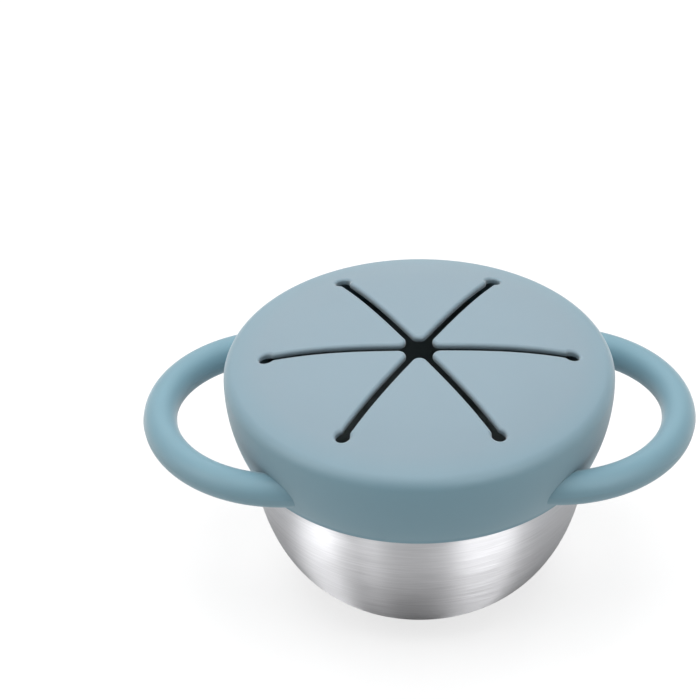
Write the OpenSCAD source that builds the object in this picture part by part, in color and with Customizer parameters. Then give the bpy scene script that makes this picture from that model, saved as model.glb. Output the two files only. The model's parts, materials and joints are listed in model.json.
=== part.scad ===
// Toddler snack container: a steel bowl under a soft silicone lid.
// The lid is one moulding with two loop handles and six flaps that a small
// hand pushes open. Millimetres, +Z up, origin at the centre of the foot,
// handles along X.

/* [Bowl] */
// Outside radius of the bowl's straight upper wall
bowl_r = 41.5; // [34:0.5:52]
// Height of the bowl, from its foot to the top of its rim
bowl_h = 58.5; // [52:0.5:80]
// Radius of the flat foot that it stands on
foot_r = 16; // [10:0.5:24]
// Height at which the rounded bottom runs into the straight wall
curve_h = 39; // [24:0.5:40]
// Thickness of the steel sheet
sheet_t = 0.6; // [0.4:0.05:1]
// Radius of the bead that is rolled round the rim
bead_r = 0.8; // [0.7:0.05:1.1]
// How far the bead stands out past the wall
bead_proud = 0.4; // [0.1:0.05:0.6]

/* [Lid] */
// Thickness of the shoulder, from the bore that passes the bead to the outside
shoulder_t = 5.85; // [5:0.05:8]
// Radius of the round edge between the dome and the skirt
shoulder_r = 3.5; // [2.5:0.25:5]
// Height of the widest point above the bowl's rim
shoulder_lift = 0.3; // [-1:0.1:1.5]
// Fall of the dome from its middle to the slit ends
dome_fall = 2.9; // [1:0.1:4]
// Depth of the skirt below the widest point
skirt_h = 18.6; // [16:0.2:24]
// Thickness of the lip at the bottom of the skirt
lip_t = 1.5; // [1.2:0.05:2.5]
// Height of the lip that grips the bowl
lip_h = 4; // [2.5:0.25:5]
// Thickness of the skirt between the lip and the rim's seat
skirt_t = 2.6; // [2.2:0.05:2.9]
// Height of the band that holds the rim from outside
rim_band_h = 4.5; // [3:0.25:6]
// Depth of the seal lip inside the rim
seal_h = 4; // [2:0.25:7]
// Thickness of the seal lip
seal_t = 0.8; // [0.7:0.05:1.2]
// Clearance between the silicone and the steel rim
rim_fit = 0.25; // [0.15:0.05:0.4]

/* [Flaps] */
// Thickness of the dome and its flaps
flap_t = 1.6; // [1.2:0.05:2.6]
// From the lid's outside edge in to the centres of the slit ends
slit_land = 10.6; // [9.5:0.1:15]
// Width of the slits between the flaps
slit_w = 2.1; // [1.3:0.1:2.4]
// Radius of the round hole that ends each slit
slit_end_r = 1.8; // [1.3:0.05:2]
// Radius of each flap's round tip
tip_r = 2; // [0.6:0.1:3]
// Clearance between a flap's bending edge and the dome
hinge_gap = 0.3; // [0.2:0.05:0.5]

/* [Handles] */
// Radius of the round handle bar
bar_r = 4.2; // [3:0.1:5]
// Radius of the handle's bend, at the middle of the bar
bend_r = 30.4; // [26:0.2:34]
// How far a handle reaches out past the lid
reach = 20.1; // [16:0.1:26]
// Height of the bar's underside above the bottom of the skirt
handle_rise = 2.3; // [0.5:0.1:4]

/* [Hidden] */
$fn = 96;

steel_colour = [0.74, 0.74, 0.75];
silicone_colour = [0.55, 0.66, 0.70];
edge_colour = [0.49, 0.60, 0.65];

// Extra length for cuts that run out past a face
cut = 1;
// Steps along each round stretch of an outline
round_steps = 14;
flap_count = 6;
sector = 360 / flap_count;

// Bowl
bowl_in_r = bowl_r - sheet_t;
bead_c = bowl_r + bead_proud - bead_r;
rim_out_r = bead_c + bead_r;
rim_in_r = bead_c - bead_r;

// Lid, worked out from the rim that it fits
bore_r = rim_out_r + rim_fit;
lid_r = bore_r + shoulder_t;
lip_r = bore_r + lip_t;
wide_z = bowl_h + shoulder_lift;
skirt_z = wide_z - skirt_h;
seat_z = bowl_h + rim_fit;
seal_out_r = rim_in_r - rim_fit;
seal_in_r = seal_out_r - seal_t;
// The dome falls with the cube of the radius, and runs smoothly into the
// shoulder's arc where both have the same slope
ring_r = lid_r - slit_land;
dome_k = dome_fall / pow(ring_r, 3);
shoulder_c = lid_r - shoulder_r;
shoulder_a = meeting_angle(shoulder_c, 6);
dome_r = shoulder_c + shoulder_r * cos(shoulder_a);
top_z = wide_z + shoulder_r * sin(shoulder_a) + dome_k * pow(dome_r, 3);
dome_h = top_z - wide_z;
// The skirt is an arc that leaves the widest point straight down
skirt_in = lid_r - lip_r;
skirt_R = (pow(skirt_h, 2) + pow(skirt_in, 2)) / (2 * skirt_in);
// Round on the outer corner of the skirt's bottom edge
edge_r = lip_t / 2;

// Flaps: each bends about the chord between two slit ends
chord_x = ring_r * cos(sector / 2);
chord_half = ring_r * sin(sector / 2);
hinge_r = flap_t / 2;
hinge_z = (dome_z(chord_x) + dome_z(ring_r)) / 2 - hinge_r;
slot_x = chord_x + hinge_r + hinge_gap;
plate_x = chord_x - 0.7 * hinge_r;

// Handles
handle_x = lid_r + reach - bar_r - bend_r;
handle_z = skirt_z + handle_rise + bar_r;
handle_a = 115;

// Height of the dome's outside at radius r
function dome_z(r) = top_z - dome_k * pow(r, 3);
// Angle on the shoulder's arc where the dome meets it, in n better and better steps
function meeting_angle(r, n) =
    let (a = atan2(1, 3 * dome_k * pow(r, 2)))
    n == 0 ? a : meeting_angle(shoulder_c + shoulder_r * cos(a), n - 1);
// Points of the dome from its middle out to radius r, moved down by d
function dome_curve(r, d) =
    [for (i = [0:2 * round_steps]) let (x = r * i / (2 * round_steps)) [x, dome_z(x) - d]];
// Points of an arc about [x, z]
function arc(x, z, r, a0, a1) =
    [for (i = [0:round_steps])
        let (a = a0 + (a1 - a0) * i / round_steps) [x + r * cos(a), z + r * sin(a)]];
// The lid's outside, from the middle of the dome down to the angle low on the skirt
function lid_outline(low) = concat(
    dome_curve(dome_r, 0),
    arc(shoulder_c, wide_z, shoulder_r, shoulder_a, 0),
    arc(lid_r - skirt_R, wide_z, skirt_R, 0, -low));
// A quarter of an ellipse from the foot up to the wall, moved inwards by d
function bowl_curve(d) =
    let (wide = bowl_r - foot_r)
    [for (i = [0:2 * round_steps])
        let (a = 90 * i / (2 * round_steps),
             n = [sin(a) / wide, -cos(a) / curve_h],
             m = n / norm(n))
        [foot_r + wide * sin(a) - d * m[0], curve_h * (1 - cos(a)) - d * m[1]]];

module revolve() {
    rotate_extrude($fn = 180) children();
}

// Pressed from one sheet: flat foot, round bottom, straight wall, rolled rim
module steel_bowl() {
    neck_z = bowl_h - bead_r;
    color(steel_colour) {
        revolve()
            polygon(concat([[0, 0]], bowl_curve(0), [[bowl_r, neck_z], [bowl_in_r, neck_z]],
                [for (i = [2 * round_steps:-1:0]) bowl_curve(sheet_t)[i]], [[0, sheet_t]]));
        revolve()
            translate([bead_c, neck_z]) circle(bead_r);
    }
}

// The whole outside of the lid as a solid, without flaps or cavity
module lid_block() {
    edge_z = skirt_z + edge_r;
    low = asin((wide_z - edge_z) / skirt_R);
    edge_x = lid_r - skirt_R + skirt_R * cos(low);
    revolve()
        polygon(concat(lid_outline(low),
            arc(edge_x - edge_r, edge_z, edge_r, 0, -90), [[0, skirt_z]]));
}

// The space inside the lid: the bore for the bowl, the thinned skirt and the
// hollow under the dome
module lid_cavity() {
    band_z = seat_z - rim_band_h;
    low_z = skirt_z + lip_h;
    revolve() {
        translate([0, skirt_z - cut]) square([bore_r, seat_z - skirt_z + cut]);
        polygon(concat([[bore_r - cut, band_z]],
            [for (i = [0:round_steps])
                let (z = band_z + (low_z - band_z) * i / round_steps)
                [skirt_inside(z), z]],
            [[bore_r - cut, low_z]]));
        polygon(concat([[0, seat_z - cut]], dome_curve(seal_in_r, flap_t),
            [[seal_in_r, seat_z - cut]]));
    }
}

// Radius of the thinned skirt's inner face at height z
function skirt_inside(z) =
    lid_r - skirt_R + sqrt(pow(skirt_R, 2) - pow(wide_z - z, 2)) - skirt_t;

// The lip that hangs inside the rim and seals it
module seal_lip() {
    revolve()
        translate([seal_in_r, seat_z - seal_h]) square([seal_t, seal_h + cut]);
}

// Everything that the flaps, slits and slit ends take out of the dome
module flap_opening() {
    translate([0, 0, seat_z - seal_h - cut])
        linear_extrude(dome_h + seal_h + 3 * cut) {
            rotate(0) circle(r = ring_r, $fn = flap_count);
            for (i = [0:flap_count - 1]) {
                rotate(sector * i) translate([ring_r, 0]) circle(slit_end_r);
                rotate(sector * (i + 0.5))
                    translate([chord_x - cut, -chord_half + slit_end_r / 2])
                        square([slot_x - chord_x + cut, 2 * chord_half - slit_end_r]);
            }
        }
}

module lid_shell() {
    color(silicone_colour)
        difference() {
            union() {
                difference() {
                    lid_block();
                    lid_cavity();
                }
                seal_lip();
            }
            flap_opening();
        }
}

// Plan of one flap, which points along +X from its round tip
module flap_plan() {
    tip_x = (slit_w / 2 + tip_r) / sin(sector / 2);
    side_x = tip_x - tip_r * sin(sector / 2);
    side_y = tip_r * cos(sector / 2);
    far_y = side_y + (plate_x - side_x) * tan(sector / 2);
    translate([tip_x, 0]) circle(tip_r);
    polygon([[side_x, -side_y], [plate_x, -far_y], [plate_x, far_y], [side_x, side_y]]);
}

module dome_sheet() {
    revolve()
        polygon(concat(dome_curve(ring_r, 0),
            [for (i = [2 * round_steps:-1:0]) dome_curve(ring_r, flap_t)[i]]));
}

// A flap: a piece of the dome with a round bending edge along its chord
module flap(turn) {
    color(silicone_colour)
        rotate(turn)
            difference() {
                union() {
                    intersection() {
                        dome_sheet();
                        translate([0, 0, wide_z]) linear_extrude(dome_h + cut) flap_plan();
                    }
                    translate([chord_x, 0, hinge_z]) rotate([90, 0, 0])
                        cylinder(r = hinge_r, h = 2 * chord_half, center = true);
                }
                for (side = [-1, 1])
                    translate([chord_x, side * chord_half, wide_z])
                        cylinder(r = slit_end_r, h = dome_h + cut);
            }
}

// A bent bar whose ends sink into the skirt, where the lid's block cuts them
module handle(side) {
    color(edge_colour)
        difference() {
            translate([side * handle_x, 0, handle_z])
                rotate(side > 0 ? -handle_a : 180 - handle_a)
                    rotate_extrude(angle = 2 * handle_a) translate([bend_r, 0]) circle(bar_r);
            lid_block();
        }
}

module left_handle() { handle(-1); }
module right_handle() { handle(1); }
module front_flap() { flap(270); }
module back_flap() { flap(90); }
module front_left_flap() { flap(210); }
module front_right_flap() { flap(330); }
module back_left_flap() { flap(150); }
module back_right_flap() { flap(30); }

steel_bowl();
lid_shell();
left_handle();
right_handle();
front_flap();
back_flap();
front_left_flap();
front_right_flap();
back_left_flap();
back_right_flap();
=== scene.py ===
# %% [markdown]
# # A toddler snack container
# A round steel bowl stands on a pale table. A soft silicone lid covers its
# rim. The lid is one moulding: a low dome cut into six flaps, a skirt that
# grips the bowl, and two loop handles. A small hand pushes through the flaps,
# and the snacks stay in when the cup tips over.
#
# ## The frame
# The construction, the joints and the real sizes come from a imported model, the frame. Everything below
# is built around it, in metres, in the same coordinates, so no piece is ever fitted by eye.

# %% Load the frame
import json
import math

import bmesh
import bpy
import numpy as np
from mathutils import Matrix, Vector


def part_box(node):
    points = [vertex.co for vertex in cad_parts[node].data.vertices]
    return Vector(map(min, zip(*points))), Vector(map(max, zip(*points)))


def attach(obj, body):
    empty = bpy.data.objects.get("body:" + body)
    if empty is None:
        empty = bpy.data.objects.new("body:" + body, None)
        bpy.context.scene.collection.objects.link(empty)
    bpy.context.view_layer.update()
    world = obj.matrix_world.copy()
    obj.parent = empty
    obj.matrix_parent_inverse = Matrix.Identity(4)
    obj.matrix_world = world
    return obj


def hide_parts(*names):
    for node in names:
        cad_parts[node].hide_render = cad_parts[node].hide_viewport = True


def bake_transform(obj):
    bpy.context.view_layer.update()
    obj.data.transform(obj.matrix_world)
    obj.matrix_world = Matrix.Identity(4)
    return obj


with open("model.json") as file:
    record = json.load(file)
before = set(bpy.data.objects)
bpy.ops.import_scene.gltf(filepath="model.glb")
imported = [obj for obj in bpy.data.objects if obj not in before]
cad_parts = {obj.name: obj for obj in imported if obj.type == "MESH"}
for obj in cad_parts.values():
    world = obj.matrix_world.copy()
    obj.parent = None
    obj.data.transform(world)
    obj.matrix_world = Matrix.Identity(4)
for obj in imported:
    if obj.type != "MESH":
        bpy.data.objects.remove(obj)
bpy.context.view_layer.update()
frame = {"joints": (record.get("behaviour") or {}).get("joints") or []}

MM = 0.001

# %% [markdown]
# ## Sizes
# The large sizes are read from the frame: the lid's radius from the box of
# the lid's shell, the bowl's height from the bowl, the line that a flap bends
# about from its joint. What a box can't tell, such as a wall, a rounding or a
# bend, is written beside the piece that needs it. Sizes are in millimetres,
# because that is how a moulding is drawn, and turned into metres when a mesh
# is made.

# %% Read the large sizes
def box_mm(node):
    """Lowest and highest corner of a node of the frame, in millimetres."""
    low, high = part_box(node)
    return low / MM, high / MM


bowl_high = box_mm("steel_bowl")[1]
lid_low, lid_high = box_mm("lid_shell")
handle_low, handle_high = box_mm("right_handle")
flap_joints = [joint for joint in frame["joints"] if joint["type"] == "hinge"]

bowl_h = bowl_high.z
rim_r = bowl_high.x
lid_r = lid_high.x
skirt_z = lid_low.z
top_z = box_mm("back_flap")[1].z
chord_x = math.hypot(*flap_joints[0]["pos_m"][:2]) / MM
flap_count = len(flap_joints)
half_sector = math.pi / flap_count
ring_r = chord_x / math.cos(half_sector)
print(f"lid radius {lid_r:.2f}, top at {top_z:.2f}, slit ends at {ring_r:.2f} from the middle")

# %% [markdown]
# ## Camera
# The object was photographed from the front, well above the table, with a
# long lens. A long lens far away keeps the ellipses of the lid and the bowl
# alike. The camera looks past the object a little, so that the object sits
# right of the middle and low in the picture, without any lens shift: the
# target, a point on the object's axis, falls on the target pixel.

# %% Camera
CAMERA_ELEVATION = math.radians(36.5)
CAMERA_TURN = math.radians(-0.55)
CAMERA_ROLL = math.radians(-0.76)
CAMERA_DISTANCE = 1200
TARGET = Vector((0, 0, 35))
PICTURE = 700
TARGET_PIXEL = (419.2, 453.6)
PIXELS_PER_MM = 4.03
SENSOR = 36


def make_camera():
    turn, rise = CAMERA_TURN, CAMERA_ELEVATION
    back = Vector((math.sin(turn) * math.cos(rise), -math.cos(turn) * math.cos(rise), math.sin(rise)))
    side = Vector((math.cos(turn), math.sin(turn), 0))
    up = back.cross(side)
    across = (PICTURE / 2 - TARGET_PIXEL[0]) / PIXELS_PER_MM
    above = (TARGET_PIXEL[1] - PICTURE / 2) / PIXELS_PER_MM
    place = TARGET + back * CAMERA_DISTANCE
    aim = TARGET + side * across + up * above
    data = bpy.data.cameras.new("camera")
    data.sensor_width = SENSOR
    data.lens = PIXELS_PER_MM * CAMERA_DISTANCE * SENSOR / PICTURE
    camera = bpy.data.objects.new("camera", data)
    bpy.context.scene.collection.objects.link(camera)
    camera.location = place * MM
    look = (aim - place).to_track_quat("-Z", "Y").to_matrix().to_4x4()
    roll = Matrix.Rotation(CAMERA_ROLL, 4, "Z")
    camera.rotation_euler = (look @ roll).to_euler()
    bpy.context.scene.camera = camera
    return camera


camera = make_camera()
print("lens, mm:", round(camera.data.lens, 1))

# %% [markdown]
# ## Studio
# The floor is plain and nearly white. It glows a little, as a light table
# does, so the shadow under the object stays soft. A broad light hangs over
# the table, a second one stands behind it and puts a pale shine on the lid,
# and two weaker ones fill in from the sides.
#
# Three tall strips stand in front for the steel alone: brushed metal draws each of them out into an
# upright bright band. They are hidden from diffuse light, so they hardly touch the matt lid. Metal also
# mirrors the bright table, which glows and so has almost no shadow under the bowl. A dark card, a flag,
# lies round the foot as a painted shadow for the steel to mirror. It fades outwards, and only
# reflections see it.
#
# A few helpers come first, because every material here is built with them.

# %% Helpers for materials
NOISE_LOW, NOISE_HIGH = 0.3, 0.7


def principled(name):
    """A new material, its nodes, its links and its Principled shader."""
    material = bpy.data.materials.new(name)
    material.use_nodes = True
    nodes = material.node_tree.nodes
    return material, nodes, material.node_tree.links, nodes["Principled BSDF"]


def node(nodes, kind, **settings):
    """Adds a node and sets its properties."""
    made = nodes.new(kind)
    for key, value in settings.items():
        setattr(made, key, value)
    return made


def noise_texture(nodes, links, place, scale, detail):
    """A noise on the coordinates given, in waves per metre."""
    made = node(nodes, "ShaderNodeTexNoise")
    made.inputs["Scale"].default_value = scale
    made.inputs["Detail"].default_value = detail
    links.new(place, made.inputs["Vector"])
    return made.outputs["Fac"]


def spread(nodes, links, source, low, high, low_in=NOISE_LOW, high_in=NOISE_HIGH):
    """Maps a value onto a range. Noise hardly leaves the range given above."""
    ramp = node(nodes, "ShaderNodeMapRange")
    ramp.inputs["From Min"].default_value = low_in
    ramp.inputs["From Max"].default_value = high_in
    ramp.inputs["To Min"].default_value = low
    ramp.inputs["To Max"].default_value = high
    links.new(source, ramp.inputs["Value"])
    return ramp.outputs["Result"]


print("noise is taken to run from", NOISE_LOW, "to", NOISE_HIGH)

# %% Floor and flag
FLOOR_HALF = 4.0
FLOOR_TINT = 0.23
FLOOR_GLOW = 0.75
FLOOR_ROUGHNESS = 0.9
FLOOR_SPECULAR = 0.1
FLAG_R = 0.15
FLAG_DARK_R = 0.02
# The flag's dark is a painted shadow, seen only in reflections.
FLAG_SHADE = 0.02
FLAG_LIFT = 0.2 * MM
FLAG_CORNERS = 96


def make_floor():
    h = FLOOR_HALF
    mesh = bpy.data.meshes.new("floor")
    mesh.from_pydata([(-h, -h, 0), (h, -h, 0), (h, h, 0), (-h, h, 0)], [], [(0, 1, 2, 3)])
    floor = bpy.data.objects.new("floor", mesh)
    bpy.context.scene.collection.objects.link(floor)
    material, _, _, shader = principled("pale_floor")
    shader.inputs["Base Color"].default_value = (FLOOR_TINT, FLOOR_TINT, FLOOR_TINT, 1)
    shader.inputs["Roughness"].default_value = FLOOR_ROUGHNESS
    shader.inputs["Specular IOR Level"].default_value = FLOOR_SPECULAR
    shader.inputs["Emission Color"].default_value = (1, 1, 1, 1)
    shader.inputs["Emission Strength"].default_value = FLOOR_GLOW
    mesh.materials.append(material)
    return floor


def make_flag():
    """A dark round card under the bowl that only reflections can see: a painted shadow for the steel to
    mirror.
    """
    bpy.ops.mesh.primitive_circle_add(vertices=FLAG_CORNERS, radius=FLAG_R, fill_type="NGON")
    flag = bpy.context.object
    flag.name = "flag"
    flag.data.transform(Matrix.Translation((0, 0, FLAG_LIFT)))
    material, nodes, links, shader = principled("painted_shadow_flag")
    place = node(nodes, "ShaderNodeTexCoord")
    away = node(nodes, "ShaderNodeVectorMath", operation="LENGTH")
    links.new(place.outputs["Object"], away.inputs[0])
    fade = spread(nodes, links, away.outputs["Value"], 1, 0, FLAG_DARK_R, FLAG_R)
    links.new(fade, shader.inputs["Alpha"])
    shader.inputs["Base Color"].default_value = (FLAG_SHADE, FLAG_SHADE, FLAG_SHADE, 1)
    shader.inputs["Specular IOR Level"].default_value = 0
    flag.data.materials.append(material)
    flag.visible_camera = flag.visible_diffuse = flag.visible_shadow = False
    return flag


floor = make_floor()
flag = make_flag()
print("stage:", floor.name, flag.name)

# %% Lamps
# Each row: name, azimuth and elevation in degrees, distance, width and height
# in metres, and brightness.
LAMPS = [
    ("overhead", 0, 84, 2.0, 1.6, 1.6, 5.3),
    ("behind", 185, 45, 2.2, 2.4, 1.9, 2.3),
    ("left_fill", -75, 40, 1.9, 1.2, 0.8, 2.1),
    ("right_fill", 70, 40, 1.9, 1.2, 0.8, 1.5),
]
STRIPS = [
    ("left_strip", -70, 31, 1.9, 1.0, 1.6, 6.7),
    ("right_strip", 43, 31, 1.9, 1.25, 1.6, 5.9),
    ("slim_strip", -31, 31, 1.9, 0.28, 1.6, 3.8),
]
WORLD_GLOW = 0.08


def softbox(name, azimuth, elevation, distance, width, height, brightness):
    """An area light that faces the object. Brightness is its radiance."""
    a, e = math.radians(azimuth), math.radians(elevation)
    back = Vector((math.sin(a) * math.cos(e), -math.cos(a) * math.cos(e), math.sin(e)))
    data = bpy.data.lights.new(name, "AREA")
    data.shape = "RECTANGLE"
    data.size, data.size_y = width, height
    data.energy = brightness * math.pi * width * height
    lamp = bpy.data.objects.new(name, data)
    lamp.location = back * distance
    lamp.rotation_euler = (-back).to_track_quat("-Z", "Y").to_euler()
    lamp.visible_camera = False
    bpy.context.scene.collection.objects.link(lamp)
    return lamp


def make_studio():
    world = bpy.data.worlds.new("studio")
    world.use_nodes = True
    background = world.node_tree.nodes["Background"]
    background.inputs["Color"].default_value = (1, 1, 1, 1)
    background.inputs["Strength"].default_value = WORLD_GLOW
    bpy.context.scene.world = world
    bpy.context.scene.view_settings.view_transform = "Standard"
    lamps = [softbox(*row) for row in LAMPS]
    strips = [softbox(*row) for row in STRIPS]
    for strip in strips:
        strip.visible_diffuse = False
    return lamps + strips


lamps = make_studio()
print("lights:", [lamp.name for lamp in lamps])

# %% [markdown]
# ## Brushed steel
# The bowl is spun and brushed on a lathe, so its fine scratches run round it. They are finer than a
# picture can show one by one, but they stretch each highlight across them. That is what anisotropy does,
# with a tangent that runs round the Z axis. On top of it, a noise that is stretched along the bowl's
# girth varies roughness, tint and height, and draws the streaks that can be seen. The inside is painted
# darker, a painted shade for the dark of the closed cup, so it looks nearly black through the slits. It
# is the same tree with another colour.

# %% Brushed steel
STEEL_TINT = (0.77, 0.77, 0.79)
# The inside's darker tint is painted shade, for the dark of the closed cup.
INSIDE_SHADE_TINT = (0.27, 0.31, 0.32)
TINT_SWING = 0.1
STEEL_ROUGHNESS = (0.34, 0.44)
ANISOTROPY = 0.95
QUARTER_TURN = 0.25
GROOVE_STRENGTH = 0.25
GROOVE_DEPTH = 0.02 * MM


def stretched_noise(nodes, links, scale, detail, around):
    """Noise on coordinates round, out from and up the Z axis.

    Around is how many times it changes in one radian of the girth."""
    place = node(nodes, "ShaderNodeTexCoord")
    split = node(nodes, "ShaderNodeSeparateXYZ")
    links.new(place.outputs["Object"], split.inputs[0])
    turn = node(nodes, "ShaderNodeMath", operation="ARCTAN2")
    links.new(split.outputs["Y"], turn.inputs[0])
    links.new(split.outputs["X"], turn.inputs[1])
    out = node(nodes, "ShaderNodeVectorMath", operation="LENGTH")
    flat = node(nodes, "ShaderNodeCombineXYZ")
    links.new(split.outputs["X"], flat.inputs[0])
    links.new(split.outputs["Y"], flat.inputs[1])
    links.new(flat.outputs[0], out.inputs[0])
    girth = node(nodes, "ShaderNodeMath", operation="MULTIPLY")
    links.new(turn.outputs[0], girth.inputs[0])
    girth.inputs[1].default_value = around / scale
    joined = node(nodes, "ShaderNodeCombineXYZ")
    links.new(girth.outputs[0], joined.inputs[0])
    links.new(out.outputs["Value"], joined.inputs[1])
    links.new(split.outputs["Z"], joined.inputs[2])
    return noise_texture(nodes, links, joined.outputs[0], scale, detail)


def brushed_steel(name, colour):
    material, nodes, links, shader = principled(name)
    coarse = stretched_noise(nodes, links, scale=2200, detail=2, around=3)
    fine = stretched_noise(nodes, links, scale=9000, detail=3, around=5)
    both = node(nodes, "ShaderNodeMath", operation="ADD")
    half = node(nodes, "ShaderNodeMath", operation="MULTIPLY")
    half.inputs[1].default_value = 0.5
    links.new(coarse, both.inputs[0])
    links.new(fine, both.inputs[1])
    links.new(both.outputs[0], half.inputs[0])
    streaks = half.outputs[0]
    tint = node(nodes, "ShaderNodeMix", data_type="RGBA")
    tint.inputs["A"].default_value = [(1 - TINT_SWING) * c for c in colour] + [1]
    tint.inputs["B"].default_value = [(1 + TINT_SWING) * c for c in colour] + [1]
    links.new(spread(nodes, links, streaks, 0, 1), tint.inputs["Factor"])
    links.new(tint.outputs["Result"], shader.inputs["Base Color"])
    shader.inputs["Metallic"].default_value = 1
    links.new(spread(nodes, links, streaks, *STEEL_ROUGHNESS), shader.inputs["Roughness"])
    shader.inputs["Anisotropic"].default_value = ANISOTROPY
    shader.inputs["Anisotropic Rotation"].default_value = QUARTER_TURN
    tangent = node(nodes, "ShaderNodeTangent", direction_type="RADIAL", axis="Z")
    links.new(tangent.outputs[0], shader.inputs["Tangent"])
    bump = node(nodes, "ShaderNodeBump")
    bump.inputs["Strength"].default_value = GROOVE_STRENGTH
    bump.inputs["Distance"].default_value = GROOVE_DEPTH
    links.new(streaks, bump.inputs["Height"])
    links.new(bump.outputs[0], shader.inputs["Normal"])
    return material


steel = brushed_steel("brushed_steel", STEEL_TINT)
shaded_inside_steel = brushed_steel("painted_shade_inside", INSIDE_SHADE_TINT)
print("materials:", steel.name, shaded_inside_steel.name)

# %% [markdown]
# ## Silicone
# The lid is a soft, dusty blue-green silicone with the dry finish of a
# blasted mould. The colour hardly varies, but a very slow noise keeps it from
# looking printed. A fine grain in the bump breaks the highlight up, and a
# little sheen stands for the powdery bloom that such silicone has. Light goes
# a short way into it, so the thin edges of the slits glow slightly.
#
# The dome looks paler and greyer than the skirt, because it mirrors the broad lights above and behind
# it, more than sheen alone gives. So a second, paler colour is mixed in from the shoulder up, as a
# painted sheen, a painted reflection of those lights. It is a trick of this picture: the real lid is one
# moulding and most likely one colour.

# %% Silicone
SILICONE = (0.142, 0.267, 0.326)
# The second, paler colour is a painted sheen for the lights that the dome mirrors.
PAINTED_SHEEN_COLOUR = (0.187, 0.263, 0.311)
PAINTED_SHEEN_FROM_Z = 59 * MM
PAINTED_SHEEN_FULL_Z = 64 * MM
CLOUD_SCALE, CLOUD_DETAIL = 45, 3
CLOUD_SWING = 0.025
GRAIN_SCALE, GRAIN_DETAIL = 5200, 2
GRAIN_STRENGTH = 0.2
GRAIN_DEPTH = 0.03 * MM
SILICONE_ROUGHNESS = (0.50, 0.60)
SILICONE_IOR = 1.38
SHEEN, SHEEN_ROUGHNESS = 0.4, 0.5
SUBSURFACE = 0.15
SUBSURFACE_REACH = 0.8 * MM
SUBSURFACE_COLOURS = (0.6, 1.0, 1.1)


def soft_silicone():
    material, nodes, links, shader = principled("soft_silicone")
    place = node(nodes, "ShaderNodeTexCoord").outputs["Object"]
    cloud = noise_texture(nodes, links, place, CLOUD_SCALE, CLOUD_DETAIL)
    grain = noise_texture(nodes, links, place, GRAIN_SCALE, GRAIN_DETAIL)
    split = node(nodes, "ShaderNodeSeparateXYZ")
    links.new(place, split.inputs[0])
    # Painted sheen: the paler colour is mixed in by height, from the shoulder up.
    pale = node(nodes, "ShaderNodeMix", data_type="RGBA")
    pale.inputs["A"].default_value = (*SILICONE, 1)
    pale.inputs["B"].default_value = (*PAINTED_SHEEN_COLOUR, 1)
    height = spread(nodes, links, split.outputs["Z"], 0, 1, PAINTED_SHEEN_FROM_Z, PAINTED_SHEEN_FULL_Z)
    links.new(height, pale.inputs["Factor"])
    tint = node(nodes, "ShaderNodeMix", data_type="RGBA", blend_type="MULTIPLY")
    tint.inputs["Factor"].default_value = 1
    links.new(pale.outputs["Result"], tint.inputs["A"])
    swing = spread(nodes, links, cloud, 1 - CLOUD_SWING, 1 + CLOUD_SWING, 0, 1)
    links.new(swing, tint.inputs["B"])
    links.new(tint.outputs["Result"], shader.inputs["Base Color"])
    links.new(spread(nodes, links, grain, *SILICONE_ROUGHNESS), shader.inputs["Roughness"])
    bump = node(nodes, "ShaderNodeBump")
    bump.inputs["Strength"].default_value = GRAIN_STRENGTH
    bump.inputs["Distance"].default_value = GRAIN_DEPTH
    links.new(grain, bump.inputs["Height"])
    links.new(bump.outputs[0], shader.inputs["Normal"])
    shader.inputs["Subsurface Weight"].default_value = SUBSURFACE
    shader.inputs["Subsurface Radius"].default_value = SUBSURFACE_COLOURS
    shader.inputs["Subsurface Scale"].default_value = SUBSURFACE_REACH
    shader.inputs["Sheen Weight"].default_value = SHEEN
    shader.inputs["Sheen Roughness"].default_value = SHEEN_ROUGHNESS
    shader.inputs["IOR"].default_value = SILICONE_IOR
    return material


silicone = soft_silicone()
print("material:", silicone.name)

# %% [markdown]
# ## A lathe made of Geometry Nodes
# The real bowl is spun, so it is turned here too, and so is the plug that
# trims the handles later on. A lathe needs only half a section. This tree
# reads the points of a section in order, puts them on the rows of a grid,
# turns each column of the grid by its own angle, and merges the seam and the
# poles. A Screw modifier would do the same. The grid way keeps each row's
# number, so it gets a clean UV map for nothing.

# %% Tree helpers
WELD = 1e-6
NO_LENGTH = 1e-7
SHARP_FROM = math.radians(40)


def new_tree(name, inputs):
    """An empty Geometry Nodes tree with named inputs, as (label, kind, value)."""
    tree = bpy.data.node_groups.new(name, "GeometryNodeTree")
    tree.interface.new_socket("Geometry", in_out="INPUT", socket_type="NodeSocketGeometry")
    for label, kind, value in inputs:
        socket = tree.interface.new_socket(label, in_out="INPUT", socket_type=kind)
        if value is not None:
            socket.default_value = value
    tree.interface.new_socket("Geometry", in_out="OUTPUT", socket_type="NodeSocketGeometry")
    return tree, tree.nodes, tree.links


def integer(nodes, links, operation, a, b):
    """An integer sum of two sockets or numbers."""
    made = node(nodes, "FunctionNodeIntegerMath", operation=operation)
    for socket, value in zip(made.inputs, (a, b)):
        if isinstance(value, int):
            socket.default_value = value
        else:
            links.new(value, socket)
    return made.outputs[0]


def finish_tree(tree, source, material_socket, merge=WELD):
    """Ends a tree: realize, merge the seams, smooth, set the material."""
    nodes, links = tree.nodes, tree.links
    realize = node(nodes, "GeometryNodeRealizeInstances")
    weld = node(nodes, "GeometryNodeMergeByDistance")
    weld.inputs["Distance"].default_value = merge
    smooth = node(nodes, "GeometryNodeSetShadeSmooth")
    paint = node(nodes, "GeometryNodeSetMaterial")
    out = node(nodes, "NodeGroupOutput")
    links.new(source, realize.inputs[0])
    links.new(realize.outputs[0], weld.inputs[0])
    links.new(weld.outputs[0], smooth.inputs[0])
    links.new(smooth.outputs[0], paint.inputs[0])
    links.new(material_socket, paint.inputs["Material"])
    links.new(paint.outputs[0], out.inputs[0])


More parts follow.
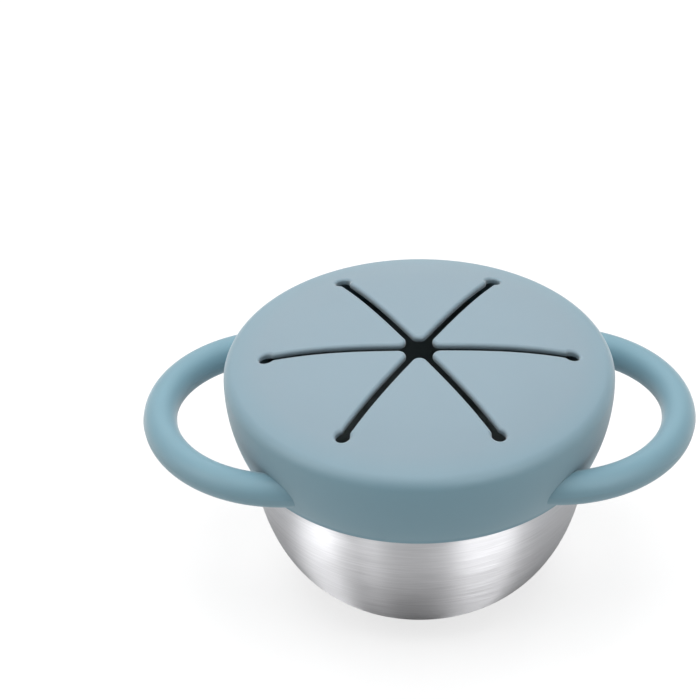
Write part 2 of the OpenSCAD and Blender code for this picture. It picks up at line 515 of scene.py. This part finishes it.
def grow(name, mesh, tree, values):
    """Runs a tree on a mesh and keeps the result as a plain mesh object."""
    piece = bpy.data.objects.new(name, mesh)
    bpy.context.scene.collection.objects.link(piece)
    modifier = piece.modifiers.new(tree.name, "NODES")
    modifier.node_group = tree
    for item in tree.interface.items_tree:
        if item.in_out == "INPUT" and item.name in values:
            modifier[item.identifier] = values[item.name]
    bpy.context.view_layer.update()
    graph = bpy.context.evaluated_depsgraph_get()
    made = bpy.data.meshes.new_from_object(piece.evaluated_get(graph))
    made.name = name
    piece.modifiers.clear()
    old, piece.data = piece.data, made
    bpy.data.meshes.remove(old)
    return piece


def close_up(piece):
    """Fills open ends, turns the faces outwards, marks sharp edges, prints."""
    work = bmesh.new()
    work.from_mesh(piece.data)
    open_edges = [edge for edge in work.edges if edge.is_boundary]
    if open_edges:
        bmesh.ops.holes_fill(work, edges=open_edges)
    bmesh.ops.dissolve_degenerate(work, dist=NO_LENGTH, edges=work.edges)
    bmesh.ops.recalc_face_normals(work, faces=work.faces)
    if work.calc_volume(signed=True) < 0:
        bmesh.ops.reverse_faces(work, faces=work.faces)
    volume = work.calc_volume(signed=True)
    left = sum(not edge.is_manifold for edge in work.edges)
    work.to_mesh(piece.data)
    work.free()
    piece.data.set_sharp_from_angle(angle=SHARP_FROM)
    print(f"{piece.name}: {len(piece.data.polygons)} faces, {volume / MM**3:.0f} mm3, open edges {left}")
    return piece


print("edges count as sharp from", round(math.degrees(SHARP_FROM)), "degrees")

# %% The lathe
STEPS_ROUND = 192


def lathe_tree():
    tree, nodes, links = new_tree("lathe", [
        ("Rows", "NodeSocketInt", 2),
        ("Steps round", "NodeSocketInt", STEPS_ROUND),
        ("Material", "NodeSocketMaterial", None),
    ])
    given = node(nodes, "NodeGroupInput")
    columns = integer(nodes, links, "ADD", given.outputs["Steps round"], 1)
    grid = node(nodes, "GeometryNodeMeshGrid")
    links.new(given.outputs["Rows"], grid.inputs["Vertices X"])
    links.new(columns, grid.inputs["Vertices Y"])
    index = node(nodes, "GeometryNodeInputIndex").outputs[0]
    row = integer(nodes, links, "DIVIDE", index, columns)
    column = integer(nodes, links, "MODULO", index, columns)
    section = node(nodes, "GeometryNodeSampleIndex", data_type="FLOAT_VECTOR")
    links.new(given.outputs["Geometry"], section.inputs["Geometry"])
    links.new(node(nodes, "GeometryNodeInputPosition").outputs[0], section.inputs["Value"])
    links.new(row, section.inputs["Index"])
    share = node(nodes, "ShaderNodeMath", operation="DIVIDE")
    links.new(column, share.inputs[0])
    links.new(given.outputs["Steps round"], share.inputs[1])
    angle = node(nodes, "ShaderNodeMath", operation="MULTIPLY")
    links.new(share.outputs[0], angle.inputs[0])
    angle.inputs[1].default_value = 2 * math.pi
    turned = node(nodes, "ShaderNodeVectorRotate", rotation_type="Z_AXIS")
    links.new(section.outputs[0], turned.inputs["Vector"])
    links.new(angle.outputs[0], turned.inputs["Angle"])
    place = node(nodes, "GeometryNodeSetPosition")
    links.new(grid.outputs["Mesh"], place.inputs["Geometry"])
    links.new(turned.outputs[0], place.inputs["Position"])
    chart = node(nodes, "GeometryNodeStoreNamedAttribute", data_type="FLOAT2", domain="CORNER")
    chart.inputs["Name"].default_value = "UVMap"
    links.new(place.outputs[0], chart.inputs["Geometry"])
    links.new(grid.outputs["UV Map"], chart.inputs["Value"])
    finish_tree(tree, chart.outputs[0], given.outputs["Material"])
    return tree


def section_mesh(name, points):
    """A section as a mesh of loose points, from (radius, height) in mm."""
    mesh = bpy.data.meshes.new(name)
    mesh.from_pydata([(r * MM, 0, z * MM) for r, z in points], [], [])
    return mesh


def turn(name, points, material):
    """A closed piece, turned from a section that starts and ends on the axis."""
    values = {"Rows": len(points), "Steps round": STEPS_ROUND, "Material": material}
    return close_up(grow(name, section_mesh(name, points), lathe, values))


def arc(x, z, r, start, end, steps):
    """Points of an arc about (x, z), from one angle in degrees to another."""
    return [(x + r * math.cos(math.radians(a)), z + r * math.sin(math.radians(a)))
            for a in np.linspace(start, end, steps + 1)]


lathe = lathe_tree()
print("tree:", lathe.name, len(lathe.nodes), "nodes")

# %% [markdown]
# ## The steel bowl
# One sheet, pressed and spun: a flat foot, a round bottom whose section is a
# quarter of an ellipse, a straight wall, and a rim rolled into a bead so that
# no edge is sharp. The section goes up the outside, round the bead and down
# the inside, and starts and ends on the axis, so the shell closes by itself.

# %% The bowl's section
SHEET_T = 0.6
BEAD_R = 0.8
BEAD_PROUD = 0.4
BEAD_TUCK = 0.1
BEAD_NECK = 0.15
BEAD_STEPS = 28
FOOT_R = 16
FOOT_ROUND = 1.0
CURVE_H = 39
CURVE_STEPS = 48
WALL_ROWS = 8

wall_r = rim_r - BEAD_PROUD


def bowl_curve(depth):
    """The bottom's ellipse from the foot to the wall, moved inwards."""
    wide = wall_r - FOOT_R
    points = []
    for a in np.linspace(0, math.pi / 2, CURVE_STEPS + 1):
        normal = np.array([math.sin(a) / wide, -math.cos(a) / CURVE_H])
        normal /= np.linalg.norm(normal)
        points.append((FOOT_R + wide * math.sin(a) - depth * normal[0],
                       CURVE_H * (1 - math.cos(a)) - depth * normal[1]))
    return points


def bowl_section():
    """Up the outside, round the bead and down the inside."""
    bead_x, bead_z = rim_r - BEAD_R, bowl_h - BEAD_R
    under = math.degrees(math.acos((wall_r - BEAD_TUCK - bead_x) / BEAD_R))
    inner = math.degrees(math.acos((wall_r - SHEET_T - bead_x) / BEAD_R))
    bead = arc(bead_x, bead_z, BEAD_R, -under, 360 - inner, BEAD_STEPS)
    wall_top = bead[0][1] - BEAD_NECK
    return ([(0, 0), (FOOT_R / 2, 0), (FOOT_R - FOOT_ROUND, 0)] + bowl_curve(0)
            + [(wall_r, z) for z in np.linspace(CURVE_H, wall_top, WALL_ROWS)[1:]]
            + bead
            + [(wall_r - SHEET_T, z) for z in np.linspace(bead[-1][1], CURVE_H, WALL_ROWS)[1:]]
            + bowl_curve(SHEET_T)[::-1][1:] + [(FOOT_R / 2, SHEET_T), (0, SHEET_T)])


print("bowl's section:", len(bowl_section()), "points")

# %% Spin the bowl
def paint_inside_shade(piece):
    """Gives the faces that look up or towards the axis the darker inside steel, a painted shade."""
    piece.data.materials.append(shaded_inside_steel)
    for face in piece.data.polygons:
        towards_axis = Vector((-face.center.x, -face.center.y, SHEET_T * MM))
        if face.normal.dot(towards_axis) > 0:
            face.material_index = len(piece.data.materials) - 1


bowl = turn("bowl", bowl_section(), steel)
# Painted shade: the inside gets the darker steel.
paint_inside_shade(bowl)
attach(bowl, "bowl")
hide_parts("steel_bowl")

# %% [markdown]
# ## The lid's section
# The dome falls with the cube of the radius: flat in the middle, steeper
# towards the edge. It runs smoothly into a round shoulder, and the skirt
# leaves the shoulder straight down and draws in on a long arc. Inside, a lip
# grips the bowl, a thinner band gives, a seat takes the rim, and a seal lip
# hangs inside it. All of it is the same at every angle, so one section does.

# %% The lid's sizes
DOME_FALL = 2.9
SHOULDER_R = 3.5
FLAP_T = 1.6
LIP_T = 1.5
LIP_H = 4.0
SKIRT_T = 2.6
BAND_H = 4.5
SEAL_H = 4.0
SEAL_T = 0.8
RIM_FIT = 0.25
JOIN_R = 41.5
SMALL_ROUND = 0.25
PASSES = 8

# The shoulder's arc and the dome have one slope where they meet. Each pass
# takes the slope at the last place and comes closer.
dome_k = DOME_FALL / ring_r**3
shoulder_c = lid_r - SHOULDER_R
shoulder_a = math.pi / 2
for _ in range(PASSES):
    meet_r = shoulder_c + SHOULDER_R * math.cos(shoulder_a)
    shoulder_a = math.atan2(1, 3 * dome_k * meet_r**2)
wide_z = top_z - dome_k * meet_r**3 - SHOULDER_R * math.sin(shoulder_a)

bore_r = rim_r + RIM_FIT
seat_z = bowl_h + RIM_FIT
seal_out_r = rim_r - 2 * BEAD_R - RIM_FIT
seal_in_r = seal_out_r - SEAL_T
lip_out_r = bore_r + LIP_T
skirt_in = lid_r - lip_out_r
skirt_R = ((wide_z - skirt_z)**2 + skirt_in**2) / (2 * skirt_in)
print(f"shoulder meets the dome at {meet_r:.2f}, skirt's arc has radius {skirt_R:.1f}")

# %% The lid's section
DOME_ROWS = 5
SHOULDER_STEPS = 14
SKIRT_STEPS = 16
LIP_STEPS = 6
SMALL_STEPS = 3
BAND_ROWS = 8


def dome_z(r):
    """Height of the dome's outside at a radius."""
    return top_z - dome_k * r**3


def skirt_out(z):
    """Outside radius of the skirt at a height."""
    return lid_r - skirt_R + math.sqrt(skirt_R**2 - (wide_z - z)**2)


def lid_outside():
    """The lid's outside from the dome's join to the lip's bottom edge."""
    edge_r = LIP_T / 2
    edge_z = skirt_z + edge_r
    low = math.degrees(math.asin((wide_z - edge_z) / skirt_R))
    return ([(r, dome_z(r)) for r in np.linspace(JOIN_R, meet_r, DOME_ROWS)[:-1]]
            + arc(shoulder_c, wide_z, SHOULDER_R, math.degrees(shoulder_a), 0, SHOULDER_STEPS)
            + arc(lid_r - skirt_R, wide_z, skirt_R, 0, -low, SKIRT_STEPS)[1:]
            + arc(skirt_out(edge_z) - edge_r, edge_z, edge_r, 0, -90, LIP_STEPS)[1:])


def lid_inside():
    """The lid's inside, from the lip up to the underside of the dome."""
    low_z, band_z = skirt_z + LIP_H, seat_z - BAND_H
    seal_z = seat_z - SEAL_H
    s = SMALL_ROUND
    return (arc(bore_r + s, skirt_z + s, s, -90, -180, SMALL_STEPS)
            + [(bore_r, low_z)]
            + [(skirt_out(z) - SKIRT_T, z) for z in np.linspace(low_z + s, band_z - s, BAND_ROWS)]
            + [(bore_r, band_z), (bore_r, seat_z), (seal_out_r, seat_z)]
            + arc(seal_out_r - s, seal_z + s, s, 0, -90, SMALL_STEPS)
            + arc(seal_in_r + s, seal_z + s, s, -90, -180, SMALL_STEPS)
            + [(seal_in_r, dome_z(seal_in_r) - FLAP_T)])


lid_section = lid_outside() + lid_inside()
print("lid section:", len(lid_section), "points")

# %% [markdown]
# ## Slits and flaps
# Six slits part the dome, each with a round hole at its end so that it can't
# tear on, and each flap has a round tip. A boolean cut would leave long thin
# triangles and hard edges. Here the outline of half a flap is laid out as
# arcs and a line, and every row of the mesh starts on it, so the soft edges
# are just a few rows that step in and down along a quarter circle. The rows
# of a flap run parallel to the line that it bends about, which lets it fold
# cleanly.

# %% The outline of a slit
SLIT_W = 2.1
HOLE_R = 1.8
TIP_R = 2.0
CORNER_R = 1.05
TIP_POINTS = 11
SIDE_POINTS = 37
SIDE_CROWDING = 1.3
CORNER_POINTS = 8
HOLE_START_POINTS = 4
HOLE_POINTS = 19

hole = np.array([ring_r, 0])
hinge_side = 90 + math.degrees(half_sector)


def polar(centre, r, degrees):
    """Points on a circle with their directions, as (point, direction)."""
    return [(centre + r * np.array([math.cos(a), math.sin(a)]), np.array([math.cos(a), math.sin(a)]))
            for a in np.radians(degrees)]


def flap_outline():
    """Half a flap's edge beside a slit along +X, from the tip to the hinge.

    Each item is a point and the direction that leads out of the flap."""
    half_w = SLIT_W / 2
    middle = np.array([math.cos(half_sector), math.sin(half_sector)])
    tip = (half_w + TIP_R) / math.sin(half_sector) * middle
    turn_back = math.degrees(half_sector) + 180
    points = polar(tip, TIP_R, np.linspace(turn_back, 270, TIP_POINTS))
    reach = math.sqrt((HOLE_R + CORNER_R)**2 - (half_w + CORNER_R)**2)
    corner = np.array([ring_r - reach, half_w + CORNER_R])
    meets = math.degrees(math.atan2(-corner[1], reach))
    for t in np.linspace(0, 1, SIDE_POINTS)[1:-1]:
        x = tip[0] + (corner[0] - tip[0]) * (1 - (1 - t)**SIDE_CROWDING)
        points.append((np.array([x, half_w]), np.array([0, -1.0])))
    points += polar(corner, CORNER_R, np.linspace(-90, meets, CORNER_POINTS))
    turns = np.linspace(180 + meets, hinge_side, HOLE_START_POINTS)[1:]
    points += [(p, -n) for p, n in polar(hole, HOLE_R, turns)]
    return points


def hole_outline():
    """The rest of the hole's edge, from the hinge to the slit's own line."""
    return [(p, -n) for p, n in polar(hole, HOLE_R, np.linspace(hinge_side, 0, HOLE_POINTS))]


print("outline:", len(flap_outline()), "points beside a flap,", len(hole_outline()), "round the hole")

# %% Half a flap
EDGE_ROUND = 0.85
UNDER_ROUND = 0.25
ACROSS = 12
EDGE_ROWS = 7
UNDER_POINTS = 4


def to_flap(p):
    """Mirrors a plan point, so that +X is the flap's middle line, not the slit's."""
    c, s = math.cos(half_sector), math.sin(half_sector)
    return np.array([c * p[0] + s * p[1], s * p[0] - c * p[1]])


def edge_path(point, out):
    """Plan and height of the rows over a soft edge, from the top to below."""
    rows = []
    for a in np.linspace(math.pi / 2, 0, EDGE_ROWS + 1):
        p = point - EDGE_ROUND * (1 - math.cos(a)) * out
        rows.append((p, dome_z(np.linalg.norm(p)) - EDGE_ROUND * (1 - math.sin(a))))
    for a in np.linspace(0, math.pi / 2, UNDER_POINTS):
        p = point - UNDER_ROUND * (1 - math.cos(a)) * out
        rows.append((p, dome_z(np.linalg.norm(p)) - FLAP_T + UNDER_ROUND * (1 - math.sin(a))))
    return rows


def grid_mesh(name, rows, extra=()):
    """A mesh from rows of points in mm, all of one length, and loose strips."""
    points, faces = [], []
    for block in [rows, *extra]:
        start, wide = len(points), len(block[0])
        points += [tuple(c * MM for c in p) for row in block for p in row]
        for i in range(len(block) - 1):
            for j in range(wide - 1):
                a = start + i * wide + j
                faces.append((a, a + 1, a + wide + 1, a + wide))
    mesh = bpy.data.meshes.new(name)
    mesh.from_pydata(points, [], faces)
    return mesh


def half_flap():
    """Half a flap that points its tip at the origin and lies along +X."""
    rows = []
    for point, out in flap_outline():
        edge = [(to_flap(p), z) for p, z in edge_path(point, out)]
        (top, _), (low, _) = edge[0], edge[-1]
        row = []
        for t in np.linspace(0, 1, ACROSS + 1)[:-1]:
            p = np.array([top[0], top[1] * t])
            row.append((*p, dome_z(np.linalg.norm(p))))
        row += [(*p, z) for p, z in edge]
        for t in np.linspace(1, 0, ACROSS + 1)[1:]:
            p = np.array([low[0], low[1] * t])
            row.append((*p, dome_z(np.linalg.norm(p)) - FLAP_T))
        rows.append(row)
    return grid_mesh("half_flap", rows)


half = half_flap()
print("half a flap:", len(half.vertices), "points")

# %% [markdown]
# ## Six flaps from one half
# The six flaps are alike, so one tree mirrors the half, joins both and turns
# the whole to its place. The angle is an input. A mirrored mesh is inside
# out, so the tree flips its faces before it is joined.

# %% Flap tree
def mirrored(nodes, links, source):
    """The geometry and its mirror image across the XZ plane."""
    mirror = node(nodes, "GeometryNodeTransform")
    mirror.inputs["Scale"].default_value = (1, -1, 1)
    flip = node(nodes, "GeometryNodeFlipFaces")
    both = node(nodes, "GeometryNodeJoinGeometry")
    links.new(source, mirror.inputs["Geometry"])
    links.new(mirror.outputs[0], flip.inputs["Mesh"])
    links.new(source, both.inputs[0])
    links.new(flip.outputs[0], both.inputs[0])
    return both.outputs[0]


def flap_tree():
    tree, nodes, links = new_tree("flap_from_half", [
        ("Turn", "NodeSocketFloat", 0.0),
        ("Material", "NodeSocketMaterial", None),
    ])
    given = node(nodes, "NodeGroupInput")
    spin = node(nodes, "ShaderNodeCombineXYZ")
    links.new(given.outputs["Turn"], spin.inputs["Z"])
    place = node(nodes, "GeometryNodeTransform")
    links.new(mirrored(nodes, links, given.outputs["Geometry"]), place.inputs["Geometry"])
    links.new(spin.outputs[0], place.inputs["Rotation"])
    finish_tree(tree, place.outputs[0], given.outputs["Material"])
    return tree


flap_from_half = flap_tree()
print("tree:", flap_from_half.name, len(flap_from_half.nodes), "nodes")


def make_flap(joint):
    """One flap, made from the half and turned to the place of its own hinge."""
    body = joint["child"]
    x, y = (c / MM for c in joint["pos_m"][:2])
    angle = math.atan2(y, x)
    values = {"Turn": angle, "Material": silicone}
    flap = close_up(grow("soft_" + body, half.copy(), flap_from_half, values))
    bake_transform(flap)
    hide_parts(body)
    return flap


flaps = [make_flap(joint) for joint in flap_joints]
print("flaps:", len(flaps))

# %% [markdown]
# ## The lid's shell
# What is left of the lid is the ring outside the six bending lines, with the
# holes, and everything that the lathe would turn. One half of a sector is
# laid out with columns that start on the bending line and on the hole, fan
# out to the round, and then follow the section down the outside and up the
# inside. A second tree mirrors it and repeats it round the axis.

# %% Half a sector of the shell
RING_ROWS = 9
UNDER_ROWS = 6


def half_sector_mesh():
    """Half a sector of the shell, from a flap's middle line to a slit's."""
    hinge_edge = edge_path(*flap_outline()[-1])
    inner = [(to_flap(p), z) for p, z in hinge_edge]
    (top_end, _), (low_end, _) = inner[0], inner[EDGE_ROWS + 1]
    tops = [np.array([chord_x, top_end[1] * t]) for t in np.linspace(0, 1, ACROSS + 1)]
    lows = [np.array([chord_x, low_end[1] * t]) for t in np.linspace(0, 1, ACROSS + 1)]
    edges = []
    for point, out in hole_outline():
        rows = [(to_flap(p), z) for p, z in edge_path(point, out)[:EDGE_ROWS + 1]]
        foot = to_flap(point)
        rows.append((foot, dome_z(np.linalg.norm(foot)) - FLAP_T))
        edges.append(rows)
    tops += [rows[0][0] for rows in edges[1:]]
    lows[-1] = edges[0][-1][0]
    lows += [rows[-1][0] for rows in edges[1:]]
    run = np.concatenate([[0], np.cumsum([np.linalg.norm(b - a) for a, b in zip(tops, tops[1:])])])
    angles = run / run[-1] * half_sector
    columns = []
    for top, low, angle in zip(tops, lows, angles):
        ray = np.array([math.cos(angle), math.sin(angle)])
        column = []
        for t in np.linspace(0, 1, RING_ROWS + 1)[:-1]:
            p = top + (JOIN_R * ray - top) * t
            column.append((*p, dome_z(np.linalg.norm(p))))
        column += [(*(r * ray), z) for r, z in lid_section]
        for t in np.linspace(0, 1, UNDER_ROWS + 1)[1:]:
            p = seal_in_r * ray + (low - seal_in_r * ray) * t
            column.append((*p, dome_z(np.linalg.norm(p)) - FLAP_T))
        columns.append(column)
    strip = [[(*p, z) for p, z in rows] for rows in edges]
    return grid_mesh("half_sector", columns, [strip])


sector = half_sector_mesh()
print("half a sector:", len(sector.vertices), "points")

# %% Repeat it round the axis
def repeat_tree():
    tree, nodes, links = new_tree("repeat_round", [
        ("Copies", "NodeSocketInt", 6),
        ("Start", "NodeSocketFloat", 0.0),
        ("Material", "NodeSocketMaterial", None),
    ])
    given = node(nodes, "NodeGroupInput")
    points = node(nodes, "GeometryNodePoints")
    links.new(given.outputs["Copies"], points.inputs["Count"])
    index = node(nodes, "GeometryNodeInputIndex").outputs[0]
    share = node(nodes, "ShaderNodeMath", operation="DIVIDE")
    links.new(index, share.inputs[0])
    links.new(given.outputs["Copies"], share.inputs[1])
    angle = node(nodes, "ShaderNodeMath", operation="MULTIPLY_ADD")
    links.new(share.outputs[0], angle.inputs[0])
    angle.inputs[1].default_value = 2 * math.pi
    links.new(given.outputs["Start"], angle.inputs[2])
    spin = node(nodes, "ShaderNodeCombineXYZ")
    links.new(angle.outputs[0], spin.inputs["Z"])
    copies = node(nodes, "GeometryNodeInstanceOnPoints")
    links.new(points.outputs[0], copies.inputs["Points"])
    links.new(mirrored(nodes, links, given.outputs["Geometry"]), copies.inputs["Instance"])
    links.new(spin.outputs[0], copies.inputs["Rotation"])
    finish_tree(tree, copies.outputs[0], given.outputs["Material"])
    return tree


repeat_round = repeat_tree()
shell = close_up(grow("lid_shell_soft", sector, repeat_round,
                      {"Copies": flap_count, "Start": half_sector, "Material": silicone}))
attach(shell, "lid")
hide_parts("lid_shell")

# %% [markdown]
# ## Loop handles
# Each handle is a round bar bent in a wide arc, moulded onto the skirt. The
# two halves of the mould meet along the bar's equator and leave a hair-thin
# ridge there. The tree sweeps a circle with that ridge along an arc, and cuts
# away what would lie in the lid, just below the skirt's face, so that bar and
# skirt meet in a crisp line and nothing shows inside.

# %% Handle tree
BAR_R = (handle_high.z - handle_low.z) / 2
BEND_R = 30.4
HANDLE_HALF_ANGLE = 115
RIDGE = 0.07
RIDGE_HALF_W = 0.28
PATH_POINTS = 121
BAR_POINTS = 72
CUT_WELD = 5e-6

handle_x = handle_high.x - BAR_R - BEND_R
handle_z = (handle_high.z + handle_low.z) / 2


def handle_tree():
    tree, nodes, links = new_tree("loop_handle", [
        ("Bar radius", "NodeSocketFloat", 0.004),
        ("Bend radius", "NodeSocketFloat", 0.03),
        ("Half angle", "NodeSocketFloat", 2.0),
        ("Ridge height", "NodeSocketFloat", 0.0001),
        ("Ridge half width", "NodeSocketFloat", 0.0003),
        ("Place", "NodeSocketVector", None),
        ("Turn", "NodeSocketFloat", 0.0),
        ("Cutter", "NodeSocketObject", None),
        ("Material", "NodeSocketMaterial", None),
    ])
    given = node(nodes, "NodeGroupInput")
    path = node(nodes, "GeometryNodeCurveArc")
    path.inputs["Resolution"].default_value = PATH_POINTS
    links.new(given.outputs["Bend radius"], path.inputs["Radius"])
    minus = node(nodes, "ShaderNodeMath", operation="MULTIPLY")
    minus.inputs[1].default_value = -1
    double = node(nodes, "ShaderNodeMath", operation="MULTIPLY")
    double.inputs[1].default_value = 2
    links.new(given.outputs["Half angle"], minus.inputs[0])
    links.new(given.outputs["Half angle"], double.inputs[0])
    links.new(minus.outputs[0], path.inputs["Start Angle"])
    links.new(double.outputs[0], path.inputs["Sweep Angle"])
    ring = node(nodes, "GeometryNodeCurvePrimitiveCircle")
    ring.inputs["Resolution"].default_value = BAR_POINTS
    slim = node(nodes, "ShaderNodeMath", operation="SUBTRACT")
    links.new(given.outputs["Bar radius"], slim.inputs[0])
    links.new(given.outputs["Ridge height"], slim.inputs[1])
    links.new(slim.outputs[0], ring.inputs["Radius"])
    where = node(nodes, "GeometryNodeInputPosition").outputs[0]
    split = node(nodes, "ShaderNodeSeparateXYZ")
    links.new(where, split.inputs[0])
    off = node(nodes, "ShaderNodeMath", operation="ABSOLUTE")
    links.new(split.outputs["Y"], off.inputs[0])
    crest = node(nodes, "ShaderNodeMapRange", interpolation_type="SMOOTHSTEP")
    links.new(off.outputs[0], crest.inputs["Value"])
    crest.inputs["From Min"].default_value = 0
    links.new(given.outputs["Ridge half width"], crest.inputs["From Max"])
    links.new(given.outputs["Ridge height"], crest.inputs["To Min"])
    crest.inputs["To Max"].default_value = 0
    outwards = node(nodes, "ShaderNodeVectorMath", operation="NORMALIZE")
    links.new(where, outwards.inputs[0])
    push = node(nodes, "ShaderNodeVectorMath", operation="SCALE")
    links.new(outwards.outputs[0], push.inputs[0])
    links.new(crest.outputs["Result"], push.inputs["Scale"])
    shaped = node(nodes, "GeometryNodeSetPosition")
    links.new(ring.outputs["Curve"], shaped.inputs["Geometry"])
    links.new(push.outputs[0], shaped.inputs["Offset"])
    sweep = node(nodes, "GeometryNodeCurveToMesh")
    sweep.inputs["Fill Caps"].default_value = True
    links.new(path.outputs["Curve"], sweep.inputs["Curve"])
    links.new(shaped.outputs[0], sweep.inputs["Profile Curve"])
    move = node(nodes, "GeometryNodeTransform")
    links.new(sweep.outputs[0], move.inputs["Geometry"])
    links.new(given.outputs["Place"], move.inputs["Translation"])
    spin = node(nodes, "ShaderNodeCombineXYZ")
    links.new(given.outputs["Turn"], spin.inputs["Z"])
    swing = node(nodes, "GeometryNodeTransform")
    links.new(move.outputs[0], swing.inputs["Geometry"])
    links.new(spin.outputs[0], swing.inputs["Rotation"])
    cutter = node(nodes, "GeometryNodeObjectInfo", transform_space="RELATIVE")
    links.new(given.outputs["Cutter"], cutter.inputs["Object"])
    cut = node(nodes, "GeometryNodeMeshBoolean", operation="DIFFERENCE", solver="EXACT")
    links.new(swing.outputs[0], cut.inputs["Mesh 1"])
    links.new(cutter.outputs["Geometry"], cut.inputs["Mesh 2"])
    finish_tree(tree, cut.outputs[0], given.outputs["Material"], merge=CUT_WELD)
    return tree


loop_handle = handle_tree()
print("tree:", loop_handle.name, len(loop_handle.nodes), "nodes")

# %% The two handles
ROOT_DEPTH = 0.8


def lid_plug():
    """The lid's outline as a solid, slightly smaller: it trims the handles."""
    outside = lid_outside()
    low = outside[-1][1]
    section = [(0, dome_z(0) - ROOT_DEPTH)] + [(r - ROOT_DEPTH, z) for r, z in outside] + [(0, low)]
    return turn("lid_plug", section, silicone)


def make_handle(name, node_name, angle, plug):
    values = {
        "Bar radius": BAR_R * MM,
        "Bend radius": BEND_R * MM,
        "Half angle": math.radians(HANDLE_HALF_ANGLE),
        "Ridge height": RIDGE * MM,
        "Ridge half width": RIDGE_HALF_W * MM,
        "Place": (handle_x * MM, 0, handle_z * MM),
        "Turn": angle,
        "Cutter": plug,
        "Material": silicone,
    }
    handle = close_up(grow(name, bpy.data.meshes.new(name), loop_handle, values))
    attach(handle, "lid")
    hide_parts(node_name)
    return handle


plug = lid_plug()
handles = [make_handle("right_loop", "right_handle", 0.0, plug),
           make_handle("left_loop", "left_handle", math.pi, plug)]
bpy.data.objects.remove(plug)
print("handles:", [handle.name for handle in handles])
